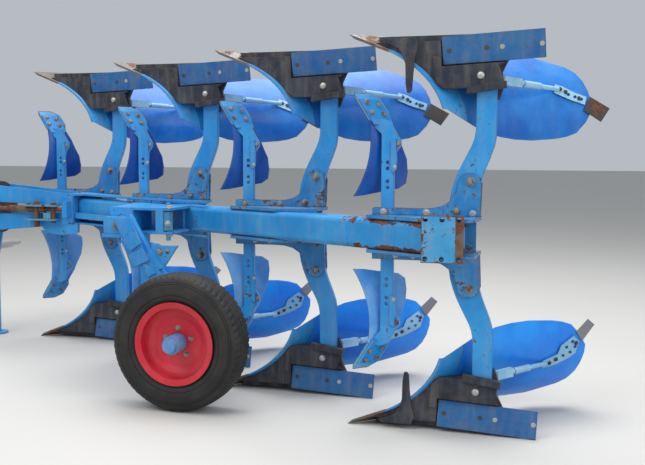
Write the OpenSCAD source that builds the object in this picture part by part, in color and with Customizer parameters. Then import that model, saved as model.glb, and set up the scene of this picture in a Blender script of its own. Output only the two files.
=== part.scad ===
// Mounted reversible plough with four lower and four upper moldboard bodies.
// All lengths are in millimetres, the ground is z = 0, travel is towards -X.

/* [Layout] */
// Distance from one body to the next along the line of travel
body_spacing = 850; // [800:10:900]
// Width of one furrow, sideways step from body to body
furrow_width = 450; // [430:5:470]
// Height from the ground to the top of the upper landsides
overall_height = 1800; // [1760:10:1840]

/* [Beam] */
// Width and height of the square main beam
beam_size = 140; // [130:2:150]
// Corner radius of the main beam
beam_corner = 26; // [18:1:32]
// Width and height of the rear end flange
flange_size = 204; // [190:2:220]
// Thickness of the rear end flange
flange_thick = 22; // [16:1:28]
// Diameter of the six holes in the rear end flange
flange_hole = 22; // [18:1:26]
// Thickness of the console plates above and below the beam
console_thick = 16; // [12:1:20]
// Thickness of the cheek plates that hold a leg
cheek_thick = 12; // [10:1:14]

/* [Bodies] */
// Thickness of a leg across the line of travel
leg_thick = 29; // [25:1:30]
// Radius of the curved moldboard surface
board_radius = 414; // [400:2:430]
// Thickness of the moldboard steel
board_thick = 8; // [6:0.5:10]
// Plan angle of the moldboard against the line of travel
board_angle = 42; // [40:0.5:44]
// Width of the share from cutting edge to top edge
share_width = 142; // [130:2:150]
// Rise angle of the share
share_rise = 31; // [28:0.5:34]
// Thickness of the share
share_thick = 11; // [9:1:14]
// Length of the landside
landside_length = 443; // [420:1:460]
// Height of the landside
landside_height = 123; // [110:1:130]
// Thickness of the landside
landside_thick = 12; // [9:1:14]
// Radius of the stay rods behind the moldboards
stay_radius = 11; // [8:0.5:14]

/* [Skimmers] */
// Width of a skimmer stem along the line of travel
stem_width = 58; // [55:1:62]
// Thickness of a skimmer stem
stem_thick = 25; // [20:1:28]
// Radius of the curved skimmer board
skim_radius = 620; // [600:10:660]
// Thickness of the skimmer board
skim_thick = 6; // [5:0.5:8]

/* [Wheel] */
// Outer diameter of the tyre
tyre_diameter = 680; // [660:2:690]
// Width of the tyre
tyre_width = 195; // [180:1:205]
// Outer diameter of the rim
rim_diameter = 412; // [400:2:424]
// Radius of the wheel axle
axle_radius = 22; // [18:1:26]
// Radius of the pivot shaft of the wheel arm
arm_pivot_radius = 30; // [26:1:34]

/* [Headstock] */
// Radius of the turnover shaft
turn_radius = 60; // [52:1:66]
// Distance between the shoulders of the lower link pins
link_width = 965; // [900:5:1000]
// Radius of a lower link pin
link_pin_radius = 18.3; // [14:0.1:19]
// Radius of the top link hole
top_hole_radius = 16; // [12.5:0.5:16.5]
// Radius of the turnover cylinder barrel
barrel_radius = 45; // [38:1:50]
// Radius of the turnover cylinder rod
rod_radius = 20; // [16:1:24]

/* [Hidden] */
origin_x = 1932.0;
origin_y = -891.8;
mid_z = overall_height / 2;
step_ratio = furrow_width / body_spacing;
beam_angle = atan(step_ratio);
beam_offset = -361;
beam_rear_x = -400;
beam_front_x = -2920;
flange_x = -397;
flange_y = beam_y(-476) - 76;
flange_half = 90;
half_beam = beam_size / 2;
board_back_x = -413;
board_back_z = 413;
share_tip_x = -860;
skim_back_x = -752;
skim_back_z = 475;
skim_angle = 45;
skim_share_width = 136;
skim_tip_x = -838;
skim_tip_z = 262;
stem_x = -712;
spindle_y = 372;
spindle_radius = 12;
wing_y = 470;
cheek_near = 0;
leg_near = cheek_thick + 0.5;
cheek_far = leg_near + leg_thick + 0.5;
axle_x = -1712;
axle_z = tyre_diameter / 2;
wheel_y = 0;
arm_x = -2220;
spindle_x = arm_x + 265;
turn_y = beam_y(-2890) + 1;
crank_radius = 120;
barrel_lift = 480;
barrel_z = mid_z + barrel_lift;
bore_gap = 0.05;
round_fn = 72;

function beam_y(x) = beam_offset - step_ratio * x;

module placed() {
    translate([origin_x, origin_y, 0])
        children();
}

module upper() {
    translate([0, 0, mid_z])
        mirror([0, 0, 1])
            translate([0, 0, -mid_z])
                children();
}

module on_bodies() {
    for (i = [0:3])
        translate([-i * body_spacing, i * furrow_width, 0])
            children();
}

// A flat plate drawn in X and Z, standing from y0 to y0 + t
module side_plate(points, y0, t) {
    translate([0, y0 + t, 0])
        rotate([90, 0, 0])
            linear_extrude(t)
                polygon(points);
}

// A flat plate drawn in X and Y, lying from z0 to z0 + t
module flat_plate(points, z0, t) {
    translate([0, 0, z0])
        linear_extrude(t)
            polygon(points);
}

// A round bar from point a to point b
module bar(a, b, r) {
    d = b - a;
    len = norm(d);
    translate(a)
        rotate([0, acos(d[2] / len), atan2(d[1], d[0])])
            cylinder(h = len, r = r, $fn = 48);
}

// Places children on the beam centre line at distance x, X running forward
module along_beam(x) {
    translate([x, beam_y(x), mid_z])
        rotate([0, 0, 180 - beam_angle])
            children();
}

// Solid round body about the moldboard axis, reaching out by r
module board_round(r) {
    translate([board_back_x, 0, board_back_z])
        rotate([0, 0, board_angle])
            translate([-900, board_radius, 0])
                rotate([0, 90, 0])
                    cylinder(h = 2600, r = r, $fn = 180);
}

// Local frame of the share: X along the cutting edge, -Y up the share
module share_frame() {
    translate([share_tip_x, 0, 0])
        rotate([0, 0, board_angle])
            rotate([-share_rise, 0, 0])
                children();
}

module board_shell(r_out, r_in, y0, y1, outline) {
    difference() {
        intersection() {
            side_plate(outline, y0, y1 - y0);
            difference() {
                board_round(r_out);
                board_round(r_in);
            }
            translate([board_back_x, 0, 0])
                rotate([0, 0, board_angle])
                    translate([-900, -20, -50])
                        cube([2600, board_radius * 0.62, 1000]);
        }
        share_frame()
            translate([-600, -share_width, -600])
                cube([2200, 1400, 1400]);
    }
}

board_outline = [[-790, 20], [-300, 20], [-250, 58], [-216, 66], [-96, 71],
    [-10, 96], [60, 116], [110, 142], [150, 185], [176, 233], [194, 288],
    [198, 327], [172, 385], [130, 437], [88, 455], [37, 466], [-65, 475],
    [-140, 471], [-205, 459], [-297, 420], [-418, 339], [-800, 339]];

tail_lower = [[154, 402], [183, 350], [238, 427], [207, 458]];
tail_upper = [[160, 330], [188, 262], [281, 316], [241, 383]];

module moldboard() {
    board_shell(board_radius, board_radius - board_thick, 75, 700,
        board_outline);
}

module shin() {
    board_shell(board_radius, board_radius - board_thick, 0, 75,
        board_outline);
}

module tail_strip(outline) {
    board_shell(board_radius + 6.3, board_radius + 0.3, 300, 700, outline);
}

module share() {
    difference() {
        intersection() {
            flat_plate([[share_tip_x - 60, 0], [share_tip_x + 250, 0],
                [-200, 330], [-200, wing_y], [share_tip_x - 60, wing_y]],
                -5, 200);
            share_frame()
                rotate([0, 90, 0])
                    translate([0, 0, -50])
                        linear_extrude(1000)
                            polygon([[0, 0], [-2, 0], [-share_thick, -24],
                                [-share_thick, -share_width],
                                [0, -share_width]]);
        }
        share_wing_cut();
    }
}

module share_wing_cut() {
    translate([share_tip_x + wing_y / tan(board_angle), wing_y, -50])
        rotate([0, 0, board_angle])
            translate([-60, -400, 0])
                cube([400, 500, 300]);
}

module landside_slab(extra) {
    translate([0, 0, landside_thick * sin(8)])
        rotate([-8, 0, 0])
            rotate([0, 2.84, 0])
                translate([-landside_length - extra, -40, -20])
                    cube([landside_length + 2 * extra, 40 + landside_thick,
                        landside_height + 20 + extra]);
}

module landside() {
    translate([0, 0, landside_thick * sin(8)])
        rotate([-8, 0, 0])
            rotate([0, 2.84, 0])
                translate([-landside_length, 0, 0])
                cube([landside_length, landside_thick, landside_height]);
}

module leg() {
    side_plate([[-285, 156], [-200, 156], [-198, 300], [-198, 430],
        [-199.5, 470], [-205, 500], [-212.5, mid_z - 377],
        [-224, mid_z - 345], [-238, mid_z - 310], [-249.5, mid_z - 280],
        [-258.5, mid_z - 250], [-263.5, mid_z - 225],
        [-266, mid_z - 200], [-266, mid_z - 90], [-396, mid_z - 90],
        [-399, mid_z - 150], [-391, mid_z - 200], [-378, mid_z - 245],
        [-362, mid_z - 285], [-345.5, mid_z - 320], [-330, mid_z - 350],
        [-316, mid_z - 377], [-304.5, 500], [-293.5, 470], [-288.5, 440],
        [-286.5, 400], [-286, 300]], leg_near, leg_thick);
}

module frog() {
    difference() {
        union() {
            side_plate([[-740, 12], [-60, 12], [-60, 60], [-150, 118],
                [-180, 180], [-172, 240], [-192, 300], [-284, 300],
                [-284, 250], [-430, 250], [-520, 215], [-640, 130]],
                cheek_far, 22);
            side_plate([[-740, 40], [-287, 40], [-287, 250], [-430, 250],
                [-520, 215], [-640, 130]], 11, cheek_far - 10);
            side_plate([[-286, 40], [-60, 40], [-60, 60], [-130, 110],
                [-190, 153], [-286, 153]], 11, cheek_far - 10);
            side_plate([[-480, 110], [-204, 110], [-170, 222], [-170, 250],
                [-430, 250], [-470, 215]], 0, 12);
            translate([0, -20, 0])
                side_plate([[-326, 246], [-158, 222], [-156, 252],
                    [-326, 276]], 0, 32);
            translate([-500, cheek_far + 20, 190])
                cube([270, 120, 18]);
            translate([-460, cheek_far + 20, 230])
                cube([238, 150, 18]);
        }
        board_round(board_radius + 0.3);
        landside_slab(6);
        share_frame()
            translate([-400, -share_width - 1, -0.3])
                cube([1600, share_width + 401, 700]);
    }
}

module flat_bar(a, b, wide, thick) {
    d = b - a;
    len = norm(d);
    translate(a)
        rotate([0, acos(d[2] / len), atan2(d[1], d[0])])
            translate([-wide / 2, -thick / 2, 0])
                cube([wide, thick, len]);
}

module stay_rod(a, b) {
    difference() {
        union() {
            bar(a, b, stay_radius);
            bar(a + 0.36 * (b - a), a + 0.64 * (b - a), stay_radius + 5);
            flat_bar(a + 0.02 * (b - a), a + 0.32 * (b - a), 42, 26);
        }
        board_round(board_radius + 0.3);
        translate([-400, -50, 100])
            cube([400, 50 + cheek_far + 22, 400]);
    }
}

module stay_plate(outline, holes) {
    difference() {
        board_shell(board_radius + 8.3, board_radius + 0.3, 200, 700,
            outline);
        for (at = holes)
            translate([at[0], 100, at[1]])
                rotate([-90, 0, 0])
                    cylinder(h = 600, r = 7, $fn = 32);
    }
}

module stay_lower() {
    stay_rod([-198, 50, 262], [26, 442, 252]);
    stay_plate([[0, 228], [0, 268], [70, 298], [86, 340], [142, 384],
        [170, 352], [152, 290], [121, 268], [60, 240]],
        [[95, 286], [127, 300], [111, 328], [150, 326], [138, 354]]);
}

module stay_upper() {
    stay_rod([-192, 50, 214], [52, 474, 232]);
    stay_plate([[24, 206], [24, 250], [100, 282], [165, 303], [172, 264],
        [116, 244], [60, 216]], [[88, 256], [118, 266], [148, 276]]);
}

module skim_round(r) {
    translate([skim_back_x, 0, skim_back_z])
        rotate([0, 0, skim_angle])
            translate([-500, skim_radius, 0])
                rotate([0, 90, 0])
                    cylinder(h = 1200, r = r, $fn = 180);
}

module skim_share_frame() {
    translate([skim_tip_x, 0, skim_tip_z])
        rotate([0, 0, skim_angle])
            rotate([-66, 0, 0])
                children();
}

module skim_board() {
    difference() {
        intersection() {
            side_plate([[-960, 300], [-720, 300], [-686, 386], [-654, 452],
                [-637, 510], [-621, 562], [-620, 625], [-630, 676],
                [-660, 700], [-735, 715], [-800, 729], [-870, 736],
                [-960, 738]], 0, 260);
            difference() {
                skim_round(skim_radius);
                skim_round(skim_radius - skim_thick);
            }
            translate([skim_back_x, 0, 0])
                rotate([0, 0, skim_angle])
                    translate([-500, -10, 0])
                        cube([1200, skim_radius * 0.6, 1000]);
        }
        skim_share_frame()
            translate([-300, -skim_share_width, -500])
                cube([1000, 900, 1000]);
    }
}

module skim_share() {
    intersection() {
        side_plate([[-900, 230], [-800, 252], [-739, 286], [-696, 350],
            [-678, 420], [-900, 420]], 0, 260);
        skim_share_frame()
            rotate([0, 90, 0])
                linear_extrude(330)
                    polygon([[0, 0], [-1.5, 0], [-9, -18],
                        [-9, -skim_share_width], [0, -skim_share_width]]);
    }
}

module skim_stem() {
    difference() {
        union() {
            translate([stem_x, leg_near, 520])
                cube([stem_width, stem_thick, mid_z - 88 - 520]);
            side_plate([[stem_x, 560], [-654, 560], [-645, 530],
                [-624, 500], [-624, 478], [-640, 455], [-662, 415],
                [-672, 392], [-706, 378], [-790, 378], [-772, 404],
                [-738, 424], [stem_x, 448]], leg_near, stem_thick);
            side_plate([[-668, 480], [-644, 470], [-638, 560],
                [-642, 612], [-656, 620], [-668, 612]], leg_near - 8, 9);
        }
        skim_round(skim_radius + 0.3);
        skim_share_frame()
            translate([-300, -skim_share_width - 1, -0.3])
                cube([1000, skim_share_width + 200, 500]);
        for (z = [576, 604, 662, 690])
            translate([stem_x + stem_width / 2, leg_near - 1, z])
                rotate([-90, 0, 0])
                    cylinder(h = stem_thick + 2, r = 8, $fn = 32);
    }
    intersection() {
        side_plate([[-830, 292], [-739, 290], [-694, 356], [-672, 404],
            [-704, 412], [-790, 400], [-806, 340]], 0, 200);
        skim_share_frame()
            translate([-100, -skim_share_width - 24, -8.3])
                cube([400, skim_share_width + 20, 8]);
    }
}

module knife() {
    side_plate([[-571, 255], [-580, 268], [-593, 266], [-600, 229],
        [-602, 140], [-615, 102], [-633, 70], [-674, 50], [-712, 36],
        [-700, 24], [-560, 24], [-546, 60], [-550, 85], [-558, 104],
        [-566, 180]], -9, 8.9);
}

module beam() {
    rear = beam_rear_x + 260;
    len = (rear - beam_front_x) / cos(beam_angle);
    k = half_beam - beam_corner;
    color("royalblue") placed()
        difference() {
            along_beam(rear)
                rotate([0, 90, 0])
                    linear_extrude(len)
                        union() {
                            square([beam_size, 2 * k], center = true);
                            square([2 * k, beam_size], center = true);
                            for (a = [-k, k])
                                for (b = [-k, k])
                                    translate([a, b])
                                        circle(r = beam_corner, $fn = 48);
                        }
            translate([beam_rear_x - 600, flange_y - 600, mid_z - 200])
                cube([1200, 600, 400]);
            translate([flange_x + flange_half - 4, flange_y - 600, mid_z - 200])
                cube([600, 1200, 400]);
        }
}

module beam_flange() {
    h = flange_size / 2;
    color("sienna") placed()
        translate([flange_x, flange_y, mid_z])
            rotate([90, 0, 0])
                difference() {
                    translate([-flange_half, -h, 0])
                        cube([2 * flange_half, flange_size, flange_thick]);
                    for (x = [-flange_half + 18, 0, flange_half - 18])
                        for (z = [-h + 17, h - 17])
                            translate([x, z, -1])
                                cylinder(h = flange_thick + 2,
                                    r = flange_hole / 2, $fn = 32);
                }
}

module console_plate_pair() {
    near = [[-770, beam_y(-770) - 76], [-478, beam_y(-478) - 76],
        [-262, flange_y], [-262, 66], [-700, 66], [-770, 110]];
    flat_plate(near, mid_z + half_beam, console_thick);
    flat_plate(near, mid_z - half_beam - console_thick, console_thick);
    difference() {
        translate([-520, 16, mid_z - half_beam])
            cube([240, 16, beam_size]);
        beam_clear();
    }
}

module beam_clear() {
    along_beam(0)
        translate([-500, -half_beam, -half_beam])
            cube([2000, beam_size, beam_size]);
}

module console_plates() {
    color("royalblue") placed()
        difference() {
            on_bodies()
                console_plate_pair();
            translate([-3500, 900, mid_z - 200])
                cube([545, turn_y + 130 - 900, 400]);
        }
}

module cheek(y0) {
    z0 = mid_z + half_beam + console_thick;
    side_plate([[-750, z0], [-264, z0], [-262, z0 + 44],
        [-258, mid_z + 230], [-268, mid_z + 262], [-296, mid_z + 278],
        [-330, mid_z + 278], [-352, mid_z + 262], [-372, mid_z + 190],
        [-398, mid_z + 152], [-432, mid_z + 130], [-480, mid_z + 119],
        [-520, mid_z + 117], [-750, mid_z + 117]], y0, cheek_thick);
}

module console_cheeks() {
    color("royalblue") placed()
        on_bodies() {
            cheek(cheek_near);
            cheek(cheek_far);
            upper() cheek(cheek_near);
            upper() cheek(cheek_far);
        }
}

module legs_lower() {
    color("royalblue") placed() on_bodies() leg();
}

module legs_upper() {
    color("royalblue") placed() on_bodies() upper() leg();
}

module frogs_lower() {
    color("dimgray") placed() on_bodies() frog();
}

module frogs_upper() {
    color("dimgray") placed() on_bodies() upper() frog();
}

module moldboards_lower() {
    color("mediumblue") placed() on_bodies() moldboard();
}

module moldboards_upper() {
    color("mediumblue") placed() on_bodies() upper() moldboard();
}

module shins_lower() {
    color("steelblue") placed() on_bodies() shin();
}

module shins_upper() {
    color("steelblue") placed() on_bodies() upper() shin();
}

module shares_lower() {
    color("gray") placed() on_bodies() share();
}

module shares_upper() {
    color("gray") placed() on_bodies() upper() share();
}

module landsides_lower() {
    color("steelblue") placed() on_bodies() landside();
}

module landsides_upper() {
    color("steelblue") placed() on_bodies() upper() landside();
}

module stays_lower() {
    color("silver") placed() on_bodies() stay_lower();
}

module stays_upper() {
    color("silver") placed() on_bodies() upper() stay_upper();
}

module tail_strips_lower() {
    color("darkslategray") placed() on_bodies() tail_strip(tail_lower);
}

module tail_strips_upper() {
    color("darkslategray") placed() on_bodies() upper() tail_strip(tail_upper);
}

module skimmer_stems() {
    color("steelblue") placed()
        on_bodies() {
            skim_stem();
            upper() skim_stem();
        }
}

module skimmer_boards_lower() {
    color("mediumblue") placed() on_bodies() skim_board();
}

module skimmer_boards_upper() {
    color("mediumblue") placed() on_bodies() upper() skim_board();
}

module skimmer_shares() {
    color("gray") placed()
        on_bodies() {
            skim_share();
            upper() skim_share();
        }
}

module landside_knives() {
    color("steelblue") placed() {
        knife();
        upper() knife();
    }
}

module swing_arm() {
    near = [[-1790, beam_y(-1790) - 78], [-2900, beam_y(-2900) - 78],
        [-3010, turn_y - 110], [-3010, turn_y + 110],
        [-2960, turn_y + 110], [-2860, beam_y(-2860) + 62],
        [-2700, beam_y(-2700) + 20], [-2475, beam_y(-2475) - 58],
        [-2380, beam_y(-2380) - 56], [-1790, beam_y(-1790) - 56]];
    arm_top = [[-2990, mid_z + 20], [-3560, mid_z + 40],
        [-3560, mid_z + 150], [-2990, mid_z + 98]];
    arm_low = [[-2990, mid_z - 98], [-3560, mid_z - 150],
        [-3560, mid_z - 40], [-2990, mid_z - 20]];
    z0 = half_beam + console_thick;
    color("royalblue") placed() {
        flat_plate(near, mid_z + z0, 12);
        flat_plate(near, mid_z - z0 - 12, 12);
        translate([-3010, turn_y - 110, mid_z - z0])
            cube([50, 220, 2 * z0]);
        for (y = [turn_y - 110, turn_y + 90]) {
            side_plate(arm_top, y, 20);
            side_plate(arm_low, y, 20);
        }
        for (x = [-3560, -3010])
            translate([x, turn_y - 156, mid_z - 52])
                cube([36, 60, 104]);
        along_beam(-2400)
            translate([0, half_beam, -58]) {
                translate([0, 26, 0])
                    cube([600, 14, 36]);
                for (x = [0, 560])
                    translate([x, 0, 0])
                        cube([40, 27, 36]);
            }
    }
}

module turnbuckle() {
    color("sienna") placed()
        translate([-3524, turn_y - 134, mid_z])
            rotate([0, 90, 0]) {
                cylinder(h = 514, r = 14, $fn = 48);
                translate([0, 0, 120])
                    cylinder(h = 260, r = 22, $fn = 48);
            }
}

module turnover_shaft() {
    color("darkslategray") placed()
        translate([0, turn_y, mid_z])
            rotate([0, -90, 0]) {
                translate([0, 0, 3560])
                    cylinder(h = 22, r = 170, $fn = round_fn);
                translate([0, 0, 3582])
                    cylinder(h = 438, r = turn_radius, $fn = round_fn);
                translate([0, 0, 4020]) {
                    cylinder(h = 24, r = 84, $fn = round_fn);
                    translate([0, -crank_radius, 0])
                        cylinder(h = 24, r = 36, $fn = 48);
                    translate([-36, -crank_radius, 0])
                        cube([72, crank_radius, 24]);
                }
            }
}

module wheel_bracket() {
    rear = arm_x + 292;
    front = arm_x - 150;
    plate = [[arm_x - 72, 346], [rear, 346], [rear, beam_y(rear)],
        [front, beam_y(front)]];
    color("royalblue") placed()
        difference() {
            union() {
                flat_plate(plate, mid_z + half_beam - 14, 14);
                flat_plate(plate, mid_z - half_beam, 14);
                translate([arm_x - 70, 346, mid_z - half_beam])
                    cube([140, 214, beam_size]);
                translate([arm_x + 202, 346, mid_z - half_beam])
                    cube([46, 14, beam_size]);
                along_beam(arm_x + 290)
                    translate([0, half_beam - 1, 1 - half_beam])
                        cube([498, 15, beam_size - 2]);
            }
            beam_clear_long();
            translate([arm_x, 345, mid_z])
                rotate([-90, 0, 0])
                    cylinder(h = 217, r = arm_pivot_radius + bore_gap,
                        $fn = round_fn);
            translate([arm_x - 90, 560, mid_z - arm_pivot_radius - 24])
                cube([180, 24, 2 * arm_pivot_radius + 48]);
            translate([spindle_x, spindle_y, mid_z - half_beam - 1])
                cylinder(h = beam_size + 2, r = spindle_radius + bore_gap,
                    $fn = 36);
        }
}

module beam_clear_long() {
    along_beam(0)
        translate([1000, -230, -half_beam - 1])
            cube([2600, 230 + half_beam, beam_size + 2]);
}

module arm_spindle() {
    color("sienna") placed() {
        translate([spindle_x - 17, spindle_y - 20, mid_z - 50])
            cube([34, 40, 100]);
        translate([spindle_x, spindle_y, mid_z - 104])
            cylinder(h = 204, r = spindle_radius, $fn = 36);
    }
}

module wheel_arm() {
    color("royalblue") placed() {
        translate([arm_x, 0, mid_z]) {
            translate([-70, 278, -78])
                cube([125, 63, 98]);
            translate([-78, 270, -88])
                cube([142, 71, 20]);
            side_plate([[79, -95], [128, -38], [185, -107], [122, -151]],
                211, 13);
            side_plate([[111, -170], [185, -133], [230, -195],
                [139, -236]], 211, 13);
            side_plate([[190, -210], [242, -224], [268, -260],
                [218, -286]], 215, 9);
            side_plate([[42, -78], [56, -72], [132, -210], [120, -240],
                [102, -244]], 262, 40);
            side_plate([[76, 30], [98, 42], [220, -162], [200, -172]],
                246, 40);
            side_plate([[204, -170], [228, -143], [306, -232],
                [270, -248]], 228, 40);
            side_plate([[226, -102], [268, -120], [380, -117],
                [301, -231], [232, -168]], 244, 14);
        }
        side_plate([[arm_x + 20, mid_z + 8], [arm_x + 94, mid_z - 113],
            [arm_x + 135, mid_z - 204], [arm_x + 210, mid_z - 288],
            [axle_x - 54, axle_z + 5], [axle_x - 40, axle_z - 44],
            [axle_x, axle_z - 62], [axle_x + 44, axle_z - 44],
            [axle_x + 58, axle_z - 3], [axle_x + 40, axle_z + 36],
            [arm_x + 260, mid_z - 228], [arm_x + 197, mid_z - 164],
            [arm_x + 162, mid_z - 83], [arm_x + 110, mid_z + 25],
            [arm_x + 55, mid_z + 25]], 222, 68);
        translate([arm_x, 340, mid_z])
            rotate([-90, 0, 0])
                cylinder(h = 225, r = arm_pivot_radius, $fn = round_fn);
        translate([arm_x, 565, mid_z])
            rotate([-90, 0, 0])
                cylinder(h = 14, r = arm_pivot_radius + 16, $fn = round_fn);
        translate([axle_x, -70, axle_z])
            rotate([-90, 0, 0])
                cylinder(h = 355, r = axle_radius, $fn = round_fn);
    }
}

module wheel_hub() {
    color("steelblue") placed()
        translate([axle_x, wheel_y, axle_z])
            rotate([90, 0, 0])
                difference() {
                    union() {
                        translate([0, 0, -90])
                            cylinder(h = 205, r = 46, $fn = round_fn);
                        translate([0, 0, 12])
                            cylinder(h = 12, r = 92, $fn = round_fn);
                        translate([0, 0, 115])
                            cylinder(h = 26, r = 34, $fn = round_fn);
                    }
                    translate([0, 0, -91])
                        cylinder(h = 165, r = axle_radius + bore_gap,
                            $fn = round_fn);
                }
}

module wheel_rim() {
    r = rim_diameter / 2;
    color("firebrick") placed()
        translate([axle_x, wheel_y, axle_z])
            rotate([90, 0, 0])
                rotate_extrude($fn = 96)
                    polygon([[46.3, 24.1], [124, 24.1], [152, 38],
                        [r - 31, 38], [r - 31, -82], [r - 4, -90],
                        [r, -90], [r, -86], [r - 26, -78], [r - 26, 78],
                        [r, 86], [r, 90], [r - 4, 90], [r - 31, 82],
                        [r - 31, 44], [150, 44], [120, 30.1],
                        [46.3, 30.1]]);
}

module tyre() {
    r = tyre_diameter / 2;
    b = rim_diameter / 2;
    w = tyre_width / 2;
    color("black") placed()
        translate([axle_x, wheel_y, axle_z])
            rotate([90, 0, 0])
                rotate_extrude($fn = 96)
                    polygon([[b - 25.7, -70], [b + 2, -76], [b + 30, -w + 4],
                        [b + 66, -w], [r - 30, -w + 8], [r - 10, -w + 22],
                        [r, -w + 42], [r, w - 42], [r - 10, w - 22],
                        [r - 30, w - 8], [b + 66, w], [b + 30, w - 4],
                        [b + 2, 76], [b - 25.7, 70]]);
}

module headstock() {
    side = [[-3650, mid_z - 110], [-3700, mid_z - 340],
        [-3840, mid_z - 380], [-3930, mid_z - 340],
        [-3960, mid_z - 120], [-3960, mid_z + 300],
        [-3940, mid_z + 520], [-3810, mid_z + 520], [-3740, mid_z + 300],
        [-3650, mid_z + 110]];
    color("royalblue") placed()
        difference() {
            union() {
                side_plate(side, turn_y - 150, 18);
                side_plate(side, turn_y + 132, 18);
                translate([-3640, turn_y, mid_z])
                    rotate([0, -90, 0])
                        cylinder(h = 330, r = turn_radius + 26,
                            $fn = round_fn);
                translate([-3680, turn_y - 140, mid_z - 120])
                    cube([24, 280, 240]);
                translate([-3960, turn_y - 140, mid_z - 110])
                    cube([24, 280, 220]);
                translate([-3960, turn_y - 140, mid_z + 440])
                    cube([24, 280, 80]);
                translate([-3950, turn_y, barrel_z])
                    rotate([0, -90, 0])
                        cylinder(h = 190, r = 16, $fn = 48);
                translate([-3760, turn_y + 185, mid_z - 300])
                    cylinder(h = 150, r = 37, $fn = 48);
                translate([-3785, turn_y + 140, mid_z - 300])
                    cube([50, 40, 150]);
            }
            translate([-3600, turn_y, mid_z])
                rotate([0, -90, 0])
                    cylinder(h = 500, r = turn_radius + bore_gap,
                        $fn = round_fn);
            translate([-3850, turn_y - 400, mid_z - 300])
                rotate([-90, 0, 0])
                    cylinder(h = 800, r = 30 + bore_gap, $fn = round_fn);
            translate([-3870, turn_y - 400, mid_z + 400])
                rotate([-90, 0, 0])
                    cylinder(h = 800, r = top_hole_radius, $fn = 48);
            translate([-3760, turn_y + 185, mid_z - 310])
                cylinder(h = 170, r = 25 + bore_gap, $fn = 48);
        }
}

module link_shaft() {
    half = link_width / 2;
    color("silver") placed()
        translate([-3850, turn_y, mid_z - 300])
            rotate([-90, 0, 0]) {
                translate([0, 0, -half])
                    cylinder(h = link_width, r = 30, $fn = round_fn);
                translate([0, 0, half])
                    cylinder(h = 100, r = link_pin_radius, $fn = 48);
                translate([0, 0, -half - 100])
                    cylinder(h = 100, r = link_pin_radius, $fn = 48);
            }
}

module stand() {
    color("royalblue") placed()
        translate([-3760, turn_y + 185, 0]) {
            cylinder(h = mid_z - 90, r = 25, $fn = 48);
            cylinder(h = 12, r = 70, $fn = 48);
        }
}

module barrel_frame() {
    translate([-4100, turn_y, barrel_z])
        rotate([180 - atan(crank_radius / barrel_lift), 0, 0])
            children();
}

module turn_barrel() {
    color("silver") placed()
        barrel_frame()
            difference() {
                union() {
                    translate([0, 0, 20])
                        cylinder(h = 300, r = barrel_radius, $fn = round_fn);
                    translate([-22, 0, 0])
                        rotate([0, 90, 0])
                            cylinder(h = 44, r = 34, $fn = 48);
                }
                translate([-60, 0, 0])
                    rotate([0, 90, 0])
                        cylinder(h = 120, r = 16 + bore_gap, $fn = 48);
                translate([0, 0, 60])
                    cylinder(h = 300, r = rod_radius + bore_gap,
                        $fn = round_fn);
            }
}

module turn_rod() {
    reach = norm([crank_radius, barrel_lift]);
    color("silver") placed()
        barrel_frame() {
            translate([0, 0, 210])
                cylinder(h = reach - 210, r = rod_radius, $fn = round_fn);
            translate([-24, 0, reach])
                rotate([0, 90, 0])
                    cylinder(h = 48, r = 30, $fn = 48);
            translate([20, 0, reach])
                rotate([0, 90, 0])
                    cylinder(h = 30, r = 18, $fn = 48);
        }
}

beam();
beam_flange();
console_plates();
console_cheeks();
legs_lower();
legs_upper();
frogs_lower();
frogs_upper();
moldboards_lower();
moldboards_upper();
shins_lower();
shins_upper();
shares_lower();
shares_upper();
landsides_lower();
landsides_upper();
stays_lower();
stays_upper();
tail_strips_lower();
tail_strips_upper();
skimmer_stems();
skimmer_boards_lower();
skimmer_boards_upper();
skimmer_shares();
landside_knives();
swing_arm();
turnbuckle();
turnover_shaft();
wheel_bracket();
arm_spindle();
wheel_arm();
wheel_hub();
wheel_rim();
tyre();
headstock();
link_shaft();
stand();
turn_barrel();
turn_rod();
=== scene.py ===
"""Looks of the reversible plough: finishes, fasteners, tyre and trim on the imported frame."""

import logging
import math
from dataclasses import dataclass, field, replace
from enum import Enum

import bmesh
import bpy
from bmesh.types import BMesh
from bpy.types import Material, Node, NodeOutputs, NodeSocket as Socket, Object
from mathutils import Matrix, Vector
from mathutils.geometry import tessellate_polygon


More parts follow.
